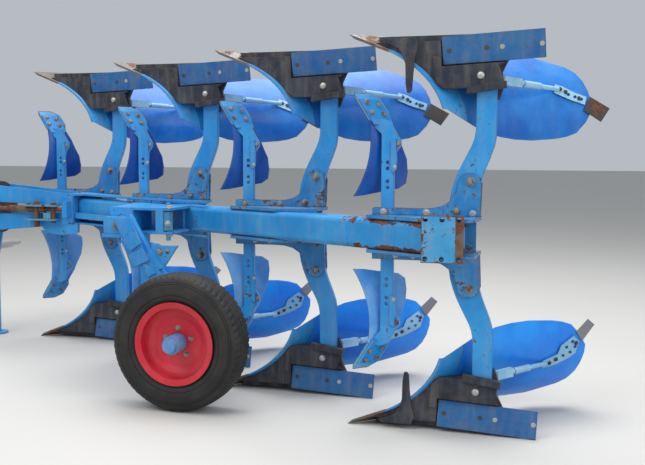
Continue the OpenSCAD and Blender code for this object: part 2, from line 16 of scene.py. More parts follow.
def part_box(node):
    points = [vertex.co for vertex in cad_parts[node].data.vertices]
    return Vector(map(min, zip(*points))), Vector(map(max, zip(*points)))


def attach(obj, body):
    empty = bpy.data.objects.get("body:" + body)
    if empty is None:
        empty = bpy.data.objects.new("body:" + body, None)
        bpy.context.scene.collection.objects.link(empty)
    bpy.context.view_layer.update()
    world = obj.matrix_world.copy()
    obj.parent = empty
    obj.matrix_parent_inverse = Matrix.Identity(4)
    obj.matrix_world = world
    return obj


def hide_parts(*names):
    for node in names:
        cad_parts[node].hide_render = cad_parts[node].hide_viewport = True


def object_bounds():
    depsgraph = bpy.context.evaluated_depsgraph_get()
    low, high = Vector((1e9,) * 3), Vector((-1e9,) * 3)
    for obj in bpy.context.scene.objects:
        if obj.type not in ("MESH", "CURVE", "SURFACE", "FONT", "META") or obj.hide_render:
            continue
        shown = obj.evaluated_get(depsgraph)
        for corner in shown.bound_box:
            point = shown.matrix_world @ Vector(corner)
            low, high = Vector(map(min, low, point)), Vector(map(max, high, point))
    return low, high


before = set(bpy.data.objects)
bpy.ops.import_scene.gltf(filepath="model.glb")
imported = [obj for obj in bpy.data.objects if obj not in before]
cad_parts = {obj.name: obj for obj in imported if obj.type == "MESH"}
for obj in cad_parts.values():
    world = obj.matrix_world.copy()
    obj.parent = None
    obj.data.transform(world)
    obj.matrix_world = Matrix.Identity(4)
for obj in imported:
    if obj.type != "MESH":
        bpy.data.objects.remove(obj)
CAD_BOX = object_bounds()

LOG = logging.getLogger("plough")
MM = 0.001
PAIRS = 4
Point = tuple[float, float, float]
Ring = tuple[float, float]
Rings = tuple[Ring, ...]
RGB = tuple[int, int, int]
Colour = tuple[float, float, float, float]
LEFTWARDS: Point = (0, -1, 0)
UPWARDS: Point = (0, 0, 1)
DOWNWARDS: Point = (0, 0, -1)
FLAT_TO_UPRIGHT = Matrix.Rotation(math.radians(90), 4, "X")


def srgb(*channels: int) -> Colour:
    """Turns a display colour into linear light by the sRGB curve.

    Args:
        channels: red, green and blue from 0 to 255.

    Returns:
        The linear colour with alpha 1.
    """
    parts = [value / 255 for value in channels]
    return (*(c / 12.92 if c <= 0.04045 else ((c + 0.055) / 1.055) ** 2.4 for c in parts), 1.0)


# ---- node graphs


@dataclass(frozen=True)
class Noise:
    """Settings of a noise texture; a finish may feed the scale instead."""

    detail: float
    rough: float
    scale: float = 1.0


class Graph:
    """Short calls for building a shader node tree."""

    def __init__(self, tree: bpy.types.NodeTree) -> None:
        """Keeps the tree that the calls add to."""
        self.tree = tree

    def feed(self, node: Node, name: str | int, value: object) -> None:
        """Links a socket to an input, or sets the input to a plain value.

        Args:
            node: the node that is fed.
            name: the input's name or number.
            value: the socket or value.
        """
        if isinstance(value, Socket):
            self.tree.links.new(value, node.inputs[name])
        else:
            node.inputs[name].default_value = value

    def add(self, kind: str, inputs: dict | None = None, **values: object) -> NodeOutputs:
        """Adds a node.

        Args:
            kind: the node's type name without the leading "ShaderNode".
            inputs: what feeds its inputs, by name or number.
            values: properties such as operation or samples.

        Returns:
            The node's outputs.
        """
        node = self.tree.nodes.new("ShaderNode" + kind)
        for key, value in values.items():
            setattr(node, key, value)
        for key, value in (inputs or {}).items():
            self.feed(node, key, value)
        return node.outputs

    def math(self, operation: str, a: object, b: object = 0.0, clamp: bool = True) -> Socket:
        """Returns a Math node's result, clamped to 0..1 by default."""
        return self.add("Math", {0: a, 1: b}, operation=operation, use_clamp=clamp)[0]

    def product(self, a: object, b: object) -> Socket:
        """Returns the clamped product of two values."""
        return self.math("MULTIPLY", a, b)

    def total(self, a: object, b: object) -> Socket:
        """Returns the clamped sum of two values."""
        return self.math("ADD", a, b)

    def blend(self, a: object, part_a: float, b: object, part_b: float) -> Socket:
        """Returns the clamped sum of two values, each times its part."""
        return self.total(self.product(a, part_a), self.product(b, part_b))

    def vector(self, operation: str, a: object, b: object = (0.0, 0.0, 0.0)) -> NodeOutputs:
        """Returns the outputs of a VectorMath node."""
        return self.add("VectorMath", {0: a, 1: b}, operation=operation)

    def where(self) -> Socket:
        """Returns the place on the object."""
        return self.add("TexCoord")["Object"]

    def split(self, vector: object) -> NodeOutputs:
        """Returns a vector's X, Y and Z."""
        return self.add("SeparateXYZ", {0: vector})

    def noise(self, vector: object, kind: Noise, scale: object = None) -> Socket:
        """Returns a noise from 0 to 1; a given scale stands for the noise's own."""
        inputs = {"Vector": vector, "Detail": kind.detail, "Roughness": kind.rough}
        return self.add("TexNoise", inputs | {"Scale": scale or kind.scale})["Fac"]

    def ramp(self, value: object, low: object, high: object) -> Socket:
        """Returns value mapped from low..high to 0..1, eased."""
        inputs = {"Value": value, "From Min": low, "From Max": high}
        return self.add("MapRange", inputs, interpolation_type="SMOOTHSTEP")["Result"]

    def mix(self, factor: object, a: object, b: object) -> Socket:
        """Returns the mix of two colours."""
        return self.add("Mix", {0: factor, 6: a, 7: b}, data_type="RGBA")[2]

    def scaled(self, vector: object, scale: Point) -> Socket:
        """Returns a vector stretched along the axes."""
        return self.add("Mapping", {"Vector": vector, "Scale": scale})["Vector"]

    def bump(
        self, height: object, relief: Ring, under: object = None, invert: bool = False
    ) -> Socket:
        """Returns the normal of a relief.

        Args:
            height: the relief from 0 to 1.
            relief: its strength and its depth in metres.
            under: the normal below it.
            invert: whether it is cut in.

        Returns:
            The normal.
        """
        inputs = {"Strength": relief[0], "Distance": relief[1], "Height": height}
        if under is not None:
            inputs["Normal"] = under
        return self.add("Bump", inputs, invert=invert)["Normal"]


class EffectGroup:
    """A shader effect that several finishes share, with its inputs' values and outputs' kinds."""

    name = "Effect"
    inputs: dict[str, float] = {}
    outputs: dict[str, str] = {}

    def __init__(self) -> None:
        """Builds the node group with its sockets and nodes."""
        self.tree = bpy.data.node_groups.new(self.name, "ShaderNodeTree")
        new_socket = self.tree.interface.new_socket
        for name, value in self.inputs.items():
            socket = new_socket(name=name, in_out="INPUT", socket_type="NodeSocketFloat")
            socket.default_value = value
        for name, kind in self.outputs.items():
            new_socket(name=name, in_out="OUTPUT", socket_type="NodeSocket" + kind)
        self.graph = Graph(self.tree)
        self.given = self.tree.nodes.new("NodeGroupInput").outputs
        self.result = self.tree.nodes.new("NodeGroupOutput")
        self.fill()

    def fill(self) -> None:
        """Adds the inner nodes; each effect has its own."""

    def place(self, graph: Graph, **values: object) -> NodeOutputs:
        """Places the group in a material with its input values, and returns its outputs."""
        return graph.add("Group", values, node_tree=self.tree)


class EdgeGroup(EffectGroup):
    """Softened edges, and a mask of where paint rubs off along them."""

    name = "Rubbed edges"
    inputs = {"Radius": 0.004, "Amount": 0.5}
    outputs = {"Mask": "Float", "Normal": "Vector"}
    samples = 4
    broken = Noise(5.0, 0.7, 34.0)
    turn = (0.02, 0.16)
    rub = (0.18, 0.34)

    def fill(self) -> None:
        """Compares the bevelled normal with the true one, broken up by noise."""
        g = self.graph
        radius = {"Radius": self.given["Radius"]}
        soft = g.add("Bevel", radius, samples=self.samples)["Normal"]
        same = g.vector("DOT_PRODUCT", soft, g.add("NewGeometry")["Normal"])["Value"]
        edge = g.ramp(g.math("SUBTRACT", 1.0, same), *self.turn)
        kept = g.product(g.noise(g.where(), self.broken), self.given["Amount"])
        g.feed(self.result, "Mask", g.ramp(g.product(edge, kept), *self.rub))
        g.feed(self.result, "Normal", soft)


class PatchGroup(EffectGroup):
    """Broad cloudy patches and small chips over a surface."""

    name = "Patches and chips"
    inputs = {"Scale": 5.0, "Chips": 0.3}
    outputs = dict.fromkeys(("Cloud", "Chip", "Grain", "Streak"), "Float")
    cloud, cloud_span = Noise(5.0, 0.6), (0.35, 0.68)
    chip = Noise(6.0, 0.72, 46.0)
    cloud_part, chip_part = 0.45, 0.66
    chip_level, chip_drop, chip_step = 0.80, 0.22, 0.04
    grain = Noise(3.0, 0.6, 210.0)
    streak, streak_stretch, streak_span = Noise(4.0, 0.6), (26.0, 26.0, 3.0), (0.42, 0.72)

    def fill(self) -> None:
        """Builds cloud, chip, grain and streak masks from noise."""
        g = self.graph
        where = g.where()
        cloud = g.noise(where, self.cloud, self.given["Scale"])
        g.feed(self.result, "Cloud", g.ramp(cloud, *self.cloud_span))
        fine = g.noise(where, self.chip)
        drop = g.product(self.given["Chips"], self.chip_drop)
        level = g.math("SUBTRACT", self.chip_level, drop)
        near = g.blend(cloud, self.cloud_part, fine, self.chip_part)
        g.feed(self.result, "Chip", g.ramp(near, level, g.total(level, self.chip_step)))
        g.feed(self.result, "Grain", g.noise(where, self.grain))
        streak = g.noise(g.scaled(where, self.streak_stretch), self.streak)
        g.feed(self.result, "Streak", g.ramp(streak, *self.streak_span))


class SoilGroup(EffectGroup):
    """Dry soil and dust that clings to the parts that work in the ground."""

    name = "Dry soil"
    inputs = {"Reach": 0.35, "Amount": 0.5}
    outputs = {"Mask": "Float"}
    clods, clod_span = Noise(6.0, 0.7, 17.0), (0.38, 0.7)
    near_part, least = 0.75, 0.18

    def fill(self) -> None:
        """Fades from the ground and from the top, since both sides plough."""
        g = self.graph
        where = g.where()
        above = g.split(where)["Z"]
        below = g.math("SUBTRACT", CAD_BOX[1][2], above, clamp=False)
        lower = g.math("MINIMUM", above, below, clamp=False)
        near = g.math("SUBTRACT", 1.0, g.math("DIVIDE", lower, self.given["Reach"]))
        rough = g.ramp(g.noise(where, self.clods), *self.clod_span)
        base = g.total(g.product(near, self.near_part), self.least)
        mask = g.product(g.product(rough, base), self.given["Amount"])
        g.feed(self.result, "Mask", mask)


class RustGroup(EffectGroup):
    """Rust in three browns, with a pitted height."""

    name = "Rust"
    inputs = {"Scale": 30.0}
    outputs = {"Color": "Color", "Height": "Float"}
    broad, red_span = Noise(6.0, 0.7), (0.4, 0.62)
    fine, orange_span = Noise(4.0, 0.7, 160.0), (0.52, 0.72)
    dark, red, orange = srgb(62, 44, 36), srgb(112, 66, 42), srgb(158, 104, 66)

    def fill(self) -> None:
        """Mixes dark, red and orange browns by two noises."""
        g = self.graph
        where = g.where()
        broad = g.noise(where, self.broad, self.given["Scale"])
        fine = g.noise(where, self.fine)
        base = g.mix(g.ramp(broad, *self.red_span), self.dark, self.red)
        tone = g.mix(g.ramp(fine, *self.orange_span), base, self.orange)
        g.feed(self.result, "Color", tone)
        g.feed(self.result, "Height", g.blend(broad, 0.5, fine, 0.5))


class Effects:
    """The shared effect groups."""

    def __init__(self) -> None:
        """Builds each group once."""
        self.edges, self.patches = EdgeGroup(), PatchGroup()
        self.soil, self.rust = SoilGroup(), RustGroup()


# ---- finishes

SOIL_COLOUR = srgb(134, 116, 96)
DUST_COLOUR = srgb(150, 146, 138)
# Near black, painted as the shade inside the tyre's grooves.
GROOVE_PAINTED_SHADE = srgb(12, 12, 13)
SPECULAR = 0.34


def new_material(name: str) -> tuple[Material, Graph, Node]:
    """Makes a material with one Principled shader.

    Args:
        name: the material's name.

    Returns:
        The material, its graph and its Principled node.
    """
    material = bpy.data.materials.new(name)
    material.use_nodes = True
    graph = Graph(material.node_tree)
    shader = next(n for n in material.node_tree.nodes if n.type == "BSDF_PRINCIPLED")
    return material, graph, shader


@dataclass(frozen=True)
class RearRust:
    """Rust that runs along the beam's upper and lower edges near the rear."""

    start: float = -1.2
    full: float = -0.5
    edge: Ring = (0.03, 0.058)
    part: float = 0.34
    noise: Noise = Noise(6.0, 0.72, 13.0)
    span: Ring = (0.7, 0.74)

    def mask(self, g: Graph) -> Socket:
        """Returns the mask; start and full are metres from the rear heel.

        Args:
            g: the material's graph.

        Returns:
            The rust from 0 to 1.
        """
        where = g.where()
        parts = g.split(where)
        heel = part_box("landsides_lower")[1].x
        along = g.ramp(parts["X"], heel + self.start, heel + self.full)
        off = g.math("SUBTRACT", parts["Z"], CAD_BOX[1][2] / 2, clamp=False)
        edge = g.ramp(g.math("ABSOLUTE", off, clamp=False), *self.edge)
        chance = g.product(g.product(along, edge), self.part)
        return g.ramp(g.total(g.noise(where, self.noise), chance), *self.span)


@dataclass(frozen=True)
class Paint:
    """Weathered machine paint over steel."""

    name: str
    colour: RGB
    faded: RGB
    roughness: float = 0.36
    coat: float = 0.25
    chips: float = 0.35
    edge_wear: float = 0.9
    edge_radius: float = 0.004
    soil: float = 0.35
    soil_reach: float = 0.4
    cloud_scale: float = 4.0
    streak: float = 0.16
    rear_rust: RearRust | None = None
    rust_scale: float = 28.0
    dulled: float = 0.45
    uneven: float = 0.12
    coat_roughness: float = 0.18
    bump: Ring = (0.35, 0.0012)
    relief: float = 0.3
    relief_base: float = 0.4

    def build(self, fx: Effects) -> Material:
        """Returns the paint as a material.

        Args:
            fx: the shared effects.

        Returns:
            The material.
        """
        material, g, shader = new_material(self.name)
        edges = fx.edges.place(g, Radius=self.edge_radius, Amount=self.edge_wear)
        patches = fx.patches.place(g, Scale=self.cloud_scale, Chips=self.chips)
        soil = fx.soil.place(g, Reach=self.soil_reach, Amount=self.soil)["Mask"]
        rust = fx.rust.place(g, Scale=self.rust_scale)
        tone = g.mix(patches["Cloud"], srgb(*self.colour), srgb(*self.faded))
        tone = g.mix(g.product(patches["Streak"], self.streak), tone, DUST_COLOUR)
        bare = g.math("MAXIMUM", edges["Mask"], patches["Chip"])
        if self.rear_rust is not None:
            bare = g.math("MAXIMUM", bare, self.rear_rust.mask(g))
        tone = g.mix(bare, tone, rust["Color"])
        g.feed(shader, "Base Color", g.mix(soil, tone, SOIL_COLOUR))
        dull = g.math("MAXIMUM", bare, soil)
        base = g.total(g.product(dull, self.dulled), self.roughness)
        uneven = g.product(patches["Grain"], self.uneven)
        g.feed(shader, "Roughness", g.total(base, uneven))
        g.feed(shader, "Coat Weight", g.product(g.math("SUBTRACT", 1.0, dull), self.coat))
        g.feed(shader, "Coat Roughness", self.coat_roughness)
        g.feed(shader, "Specular IOR Level", SPECULAR)
        grain = g.product(patches["Grain"], self.relief)
        height = g.math("SUBTRACT", grain, g.product(bare, self.relief))
        height = g.total(height, self.relief_base)
        g.feed(shader, "Normal", g.bump(height, self.bump, edges["Normal"]))
        return material


def board_paint(name: str, colour: RGB, faded: RGB, **changes: float) -> Paint:
    """Returns a smooth paint with few chips; changes are what differs from the usual board."""
    usual = {"roughness": 0.3, "chips": 0.14, "edge_wear": 0.75, "soil": 0.14, "streak": 0.06}
    return Paint(name, colour, faded, **(usual | changes))


@dataclass(frozen=True)
class BareMetal:
    """Steel without paint: worn bright, zinc coated or rusty."""

    name: str
    colour: RGB
    roughness: float = 0.4
    metallic: float = 0.85
    rust: float = 0.5
    rust_scale: float = 9.0
    soil: float = 0.3
    soil_reach: float = 0.3
    edge_radius: float = 0.003
    edge_wear: float = 0.8
    edge_shine: float = 0.7
    chips: float = 0.5
    fine_rust_scale: float = 36.0
    rust_span: Ring = (0.86, 1.05)
    rust_drop: float = 0.6
    dulled: float = 0.5
    streak: float = 0.14
    bump: Ring = (0.4, 0.0015)
    least_relief: float = 0.15

    def build(self, fx: Effects) -> Material:
        """Returns the metal as a material.

        Args:
            fx: the shared effects.

        Returns:
            The material.
        """
        material, g, shader = new_material(self.name)
        edges = fx.edges.place(g, Radius=self.edge_radius, Amount=self.edge_wear)
        patches = fx.patches.place(g, Scale=self.rust_scale, Chips=self.chips)
        soil = fx.soil.place(g, Reach=self.soil_reach, Amount=self.soil)["Mask"]
        rust = fx.rust.place(g, Scale=self.fine_rust_scale)
        spread = g.blend(patches["Cloud"], 0.5, patches["Grain"], 0.5)
        low, high = (level - self.rust_drop * self.rust for level in self.rust_span)
        shine = g.product(edges["Mask"], self.edge_shine)
        rusty = g.product(g.ramp(spread, low, high), g.math("SUBTRACT", 1.0, shine))
        tone = g.mix(rusty, srgb(*self.colour), rust["Color"])
        g.feed(shader, "Base Color", g.mix(soil, tone, SOIL_COLOUR))
        dull = g.math("MAXIMUM", rusty, soil)
        g.feed(shader, "Metallic", g.product(g.math("SUBTRACT", 1.0, dull), self.metallic))
        base = g.total(g.product(dull, self.dulled), self.roughness)
        streak = g.product(patches["Streak"], self.streak)
        g.feed(shader, "Roughness", g.total(base, streak))
        height = g.product(rust["Height"], g.total(rusty, self.least_relief))
        g.feed(shader, "Normal", g.bump(height, self.bump, edges["Normal"]))
        return material


@dataclass(frozen=True)
class Rubber:
    """Dusty tyre rubber with round grooves moulded in its side walls, with painted shade in them.
    """

    name: str = "tyre_rubber"
    colour: RGB = (24, 25, 27)
    dust: RGB = (74, 71, 66)
    roughness: float = 0.62
    dust_roughness: float = 0.3
    cloud_scale: float = 9.0
    chips: float = 0.2
    cloud_part: float = 0.28
    grain_part: float = 0.18
    grain_bump: Ring = (0.25, 0.001)
    groove_reach: Point = (0.89, 0.86, 0.7)
    groove_edge: Ring = (0.0032, 0.0012)
    groove_painted_shade: float = 0.8
    groove_bump: Ring = (0.8, 0.002)

    def grooves(self, g: Graph) -> Socket:
        """Finds the round grooves by the distance from the axle.

        Args:
            g: the material's graph.

        Returns:
            The grooves' mask.
        """
        low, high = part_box("tyre")
        off = g.vector("SUBTRACT", g.where(), (low + high) / 2)
        flat = g.vector("MULTIPLY", off["Vector"], (1.0, 0.0, 1.0))["Vector"]
        reach = g.vector("LENGTH", flat)["Value"]
        mask = 0.0
        for part in self.groove_reach:
            beside = g.math("SUBTRACT", reach, part * (high.z - low.z) / 2, clamp=False)
            gap = g.math("ABSOLUTE", beside, clamp=False)
            mask = g.math("MAXIMUM", mask, g.ramp(gap, *self.groove_edge))
        return mask

    def build(self, fx: Effects) -> Material:
        """Returns the rubber as a material.

        Args:
            fx: the shared effects.

        Returns:
            The material.
        """
        material, g, shader = new_material(self.name)
        patches = fx.patches.place(g, Scale=self.cloud_scale, Chips=self.chips)
        cloud, grain = patches["Cloud"], patches["Grain"]
        amount = g.blend(cloud, self.cloud_part, grain, self.grain_part)
        grooves = self.grooves(g)
        tone = g.mix(amount, srgb(*self.colour), srgb(*self.dust))
        # Painted shade: the round grooves are darkened towards near black, as the shade that falls
        # in them.
        tone = g.mix(g.product(grooves, self.groove_painted_shade), tone, GROOVE_PAINTED_SHADE)
        g.feed(shader, "Base Color", tone)
        dusty = g.product(amount, self.dust_roughness)
        g.feed(shader, "Roughness", g.total(dusty, self.roughness))
        g.feed(shader, "Specular IOR Level", SPECULAR)
        under = g.bump(grain, self.grain_bump)
        g.feed(shader, "Normal", g.bump(grooves, self.groove_bump, under, invert=True))
        return material


class Finish(Enum):
    """The finishes used on the plough."""

    FRAME = Paint("frame_blue", (12, 130, 202), (42, 150, 214), chips=0.66)
    CONSOLE = Paint(
        "console_blue", (12, 116, 180), (56, 146, 196),
        chips=0.9, edge_radius=0.008, edge_wear=1.3, soil=0.45, cloud_scale=7.0,
    )
    BEAM = Paint("beam_blue", (10, 128, 194), (48, 148, 206), chips=0.62, rear_rust=RearRust())
    WEATHERED = Paint(
        "weathered_blue", (48, 128, 170), (92, 158, 178), roughness=0.5, coat=0.05, chips=0.8
    )
    FLANGE = Paint("flange_blue", (40, 140, 196), (84, 162, 206), chips=0.86)
    BOARD = board_paint("board_blue", (4, 122, 230), (20, 150, 244), roughness=0.36, coat=0.1)
    # Painted shade: the upper moldboards get a darker copy of the board blue for the shade they
    # stand in.
    PAINTED_SHADE_BOARD = board_paint("painted_shade_board_blue", (4, 94, 182), (26, 124, 206))
    # Painted shade: the upper skimmer boards get a dark navy copy of the board blue for the shade
    # on their backs.
    PAINTED_SHADE_SKIMMER = board_paint("painted_shade_skimmer_blue", (4, 66, 150), (22, 92, 176))
    # Painted light: the lower skimmer boards get a paler copy of the board blue for the light that
    # falls on them.
    PAINTED_LIGHT_SKIMMER = board_paint(
        "painted_light_skimmer_blue", (66, 142, 216), (116, 174, 226),
        roughness=0.36, coat=0.15, chips=0.2, streak=0.08,
    )
    LAND = Paint(
        "landside_blue", (12, 86, 148), (34, 102, 156),
        roughness=0.42, coat=0.1, chips=0.4, soil=0.24,
    )
    FROG = Paint(
        "frog_grey", (25, 32, 46), (42, 50, 64), roughness=0.5, coat=0.0, chips=0.3, soil=0.24
    )
    RIM = Paint(
        "rim_red", (188, 16, 40), (200, 34, 56),
        roughness=0.4, coat=0.2, chips=0.3, soil=0.12, soil_reach=0.7, streak=0.05,
    )
    HUB = Paint(
        "hub_blue", (64, 122, 186), (112, 156, 198),
        roughness=0.45, chips=0.55, soil=0.3, soil_reach=0.7,
    )
    STAY = Paint(
        "stay_pale_blue", (120, 176, 210), (158, 202, 224), roughness=0.45, coat=0.1, chips=0.34
    )
    SKIM = Paint(
        "skimmer_blue", (52, 146, 210), (96, 174, 222),
        roughness=0.4, chips=0.6, edge_radius=0.009, edge_wear=1.2,
    )
    WORN = BareMetal("worn_share_steel", (112, 110, 108), roughness=0.38, rust=0.55)
    ZINC = BareMetal(
        "zinc_steel", (176, 176, 172), roughness=0.42, metallic=0.6, rust=0.16, soil=0.15
    )
    POLISHED = BareMetal(
        "polished_strip_steel", (126, 128, 134), roughness=0.46, metallic=0.3, rust=0.3
    )
    DARK = BareMetal("dark_steel", (66, 62, 60), roughness=0.55, metallic=0.3, rust=0.4)
    NUTS = BareMetal(
        "worn_bolt_steel", (142, 138, 132),
        roughness=0.5, metallic=0.45, rust=0.62, rust_scale=40.0,
    )
    RUSTY = BareMetal("rusty_steel", (110, 92, 80), roughness=0.6, metallic=0.3, rust=0.95)
    CHROME = BareMetal(
        "rod_chrome", (214, 214, 214), roughness=0.12, metallic=1.0, rust=0.02, soil=0.0
    )
    TYRE = Rubber()


NODES_BY_FINISH: dict[Finish, str] = {
    Finish.BEAM: "beam",
    Finish.CONSOLE: "console_plates console_cheeks",
    Finish.BOARD: "moldboards_lower",
    # Painted shade and painted light: the upper moldboards and skimmer boards take darker copies of
    # the board blue, the lower skimmer boards a paler one.
    Finish.PAINTED_SHADE_BOARD: "moldboards_upper",
    Finish.PAINTED_LIGHT_SKIMMER: "skimmer_boards_lower",
    Finish.PAINTED_SHADE_SKIMMER: "skimmer_boards_upper",
    Finish.LAND: "landsides_lower landsides_upper",
    Finish.FROG: "frogs_lower frogs_upper landside_knives",
    Finish.WORN: "shares_lower shares_upper",
    Finish.SKIM: "skimmer_shares",
    Finish.STAY: "stays_lower stays_upper",
    Finish.ZINC: "link_shaft",
    Finish.POLISHED: "tail_strips_lower",
    Finish.DARK: "tail_strips_upper turnover_shaft turn_barrel",
    Finish.RUSTY: "turnbuckle beam_flange",
    Finish.WEATHERED: "arm_spindle",
    Finish.CHROME: "turn_rod",
    Finish.RIM: "wheel_rim",
    Finish.HUB: "wheel_hub",
    Finish.TYRE: "tyre",
}
NODE_FINISH = {
    name: finish for finish, names in NODES_BY_FINISH.items() for name in names.split()
}


class Paintshop:
    """Builds each finish once and puts it on nodes and pieces."""

    def __init__(self) -> None:
        """Builds the shared effects."""
        self.effects = Effects()
        self.made: dict[Finish, Material] = {}

    def material(self, finish: Finish) -> Material:
        """Looks a material up, and makes it on first use.

        Args:
            finish: the finish to show.

        Returns:
            The material.
        """
        if finish not in self.made:
            self.made[finish] = finish.value.build(self.effects)
        return self.made[finish]

    def dress(self, thing: Object, finish: Finish) -> None:
        """Gives an object one finish in each of its slots.

        Args:
            thing: the mesh object.
            finish: the finish to show.
        """
        material = self.material(finish)
        if not thing.material_slots:
            thing.data.materials.append(material)
        for slot in thing.material_slots:
            slot.material = material

    def dress_frame(self) -> None:
        """Dresses every CAD node that stays in view."""
        for name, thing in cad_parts.items():
            finish = NODE_FINISH.get(name, Finish.FRAME)
            self.dress(thing, finish)
            LOG.info("%s gets %s", name, finish.name)


# ---- the layout


@dataclass(frozen=True)
class Layout:
    """Where the bodies stand, worked out from the frame."""

    heel: Vector
    spacing: float
    furrow: float
    height: float

    @classmethod
    def from_frame(cls) -> "Layout":
        """Reads the rear landside's heel and the steps between bodies.

        Returns:
            The layout.
        """
        low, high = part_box("landsides_lower")
        leg_low, leg_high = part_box("legs_lower")
        leg_reach, leg_thick = 0.201, 0.029
        spacing = (leg_high.x - leg_low.x - leg_reach) / (PAIRS - 1)
        furrow = (leg_high.y - leg_low.y - leg_thick) / (PAIRS - 1)
        return cls(Vector((high.x, low.y, 0.0)), spacing, furrow, CAD_BOX[1][2])

    def at(self, x: float, y: float, z: float, body: int = 0, upper: bool = False) -> Vector:
        """Places a point given in millimetres from the rear heel.

        Args:
            x: distance to the rear.
            y: distance to the right.
            z: height above the ground.
            body: pair number, 0 at the rear.
            upper: whether it is on the upper body.

        Returns:
            The point in the row frame, in metres.
        """
        back = self.heel.x + x * MM - body * self.spacing
        right = self.heel.y + y * MM + body * self.furrow
        return Vector((back, right, self.height - z * MM if upper else z * MM))

    def seat(self, bolts: tuple["Bolt", ...]) -> list[tuple[Vector, "Bolt"]]:
        """Pairs bolts with their seats in the row frame."""
        return [(self.at(bolt.x, bolt.y, bolt.z), bolt) for bolt in bolts]


def add_object(name: str, data: bpy.types.ID | BMesh) -> Object:
    """Adds an object to the scene.

    Args:
        name: the object's name.
        data: a lamp, a camera, or a mesh in the making, which is freed.

    Returns:
        The object.
    """
    if isinstance(data, BMesh):
        made = bpy.data.meshes.new(name)
        data.to_mesh(made)
        data.free()
        data = made
    thing = bpy.data.objects.new(name, data)
    bpy.context.scene.collection.objects.link(thing)
    return thing


# ---- fasteners


class Head(Enum):
    """Kinds of fastener head."""

    HEX = "hex"
    NUT = "nut"
    DOME = "dome"
    FLUSH = "flush"
    PIN = "pin"


# Turned parts: number of sides, then each ring's radius and height, in head radii.
WASHER = (28, ((1.35, 0.0), (1.35, 0.14), (1.28, 0.2)))
SIX_FLATS = (6, ((0.96, 0.2), (1.0, 0.26), (1.0, 0.72), (0.86, 0.84)))
THREAD = (16, ((0.52, 0.8), (0.52, 1.2), (0.46, 1.27)))
DOME_RISE, DOME_ANGLES = 0.62, (0.0, 0.3, 0.6, 0.9, 1.2, 1.42)
DOME_ARC = ((math.cos(a), DOME_RISE * math.sin(a)) for a in DOME_ANGLES)
HEAD_PARTS: dict[Head, tuple[tuple[int, Rings], ...]] = {
    Head.HEX: (WASHER, SIX_FLATS),
    Head.NUT: (WASHER, SIX_FLATS, THREAD),
    Head.DOME: ((28, ((1.0, -0.02), *DOME_ARC)),),
    Head.FLUSH: ((24, ((1.0, 0.0), (1.0, 0.05), (0.9, 0.1))),),
    Head.PIN: (),
}
PIN_SIDES, PIN_BEVEL = 24, 0.1


@dataclass(frozen=True)
class Bolt:
    """One fastener in millimetres from the rear heel, and the way its head faces."""

    x: float
    y: float
    z: float
    radius: float
    head: Head = Head.HEX
    facing: Point = LEFTWARDS
    length: float = 0.0


def turned(mesh: BMesh, rings: list[Ring], sides: int, place: Matrix) -> None:
    """Adds a closed turned solid to a mesh.

    Args:
        mesh: the mesh that grows.
        rings: (radius, height) from the seat outwards.
        sides: corners of each ring.
        place: moves it from its own axis Z.
    """
    turns = [math.tau * k / sides for k in range(sides)]
    loops = [
        [mesh.verts.new(place @ Vector((r * math.cos(a), r * math.sin(a), h))) for a in turns]
        for r, h in rings
    ]
    for lower, higher in zip(loops, loops[1:]):
        for k in range(sides):
            after = (k + 1) % sides
            mesh.faces.new((lower[k], lower[after], higher[after], higher[k]))
    mesh.faces.new(list(reversed(loops[0])))
    mesh.faces.new(loops[-1])


@dataclass
class FastenerSet:
    """Fasteners that become one piece, each with its seat in the row frame."""

    name: str
    body: str
    finish: Finish
    slot: str
    items: list[tuple[Vector, Bolt]] = field(default_factory=list)

    def build(self, shop: Paintshop) -> None:
        """Builds the fasteners as one mesh.

        Args:
            shop: gives the finish.
        """
        mesh = bmesh.new()
        for at, bolt in self.items:
            spin = Vector(bolt.facing).normalized().to_track_quat("Z", "Y")
            place = Matrix.Translation(at) @ spin.to_matrix().to_4x4()
            r, long = bolt.radius * MM, bolt.length * MM
            for sides, rings in HEAD_PARTS[bolt.head]:
                turned(mesh, [(a * r, h * r) for a, h in rings], sides, place)
            if bolt.head is Head.PIN:
                bevel = PIN_BEVEL * r
                rings = [(r - bevel, 0.0), (r, bevel), (r, long - bevel), (r - bevel, long)]
                turned(mesh, rings, PIN_SIDES, place)
        mesh.normal_update()
        thing = add_object(self.name, mesh)
        shop.dress(thing, self.finish)
        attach(thing, self.body)
        LOG.info("%s has %d fasteners", self.name, len(self.items))


@dataclass
class Assembly:
    """A sub-assembly with its layout and the shop that dresses it."""

    layout: Layout
    shop: Paintshop


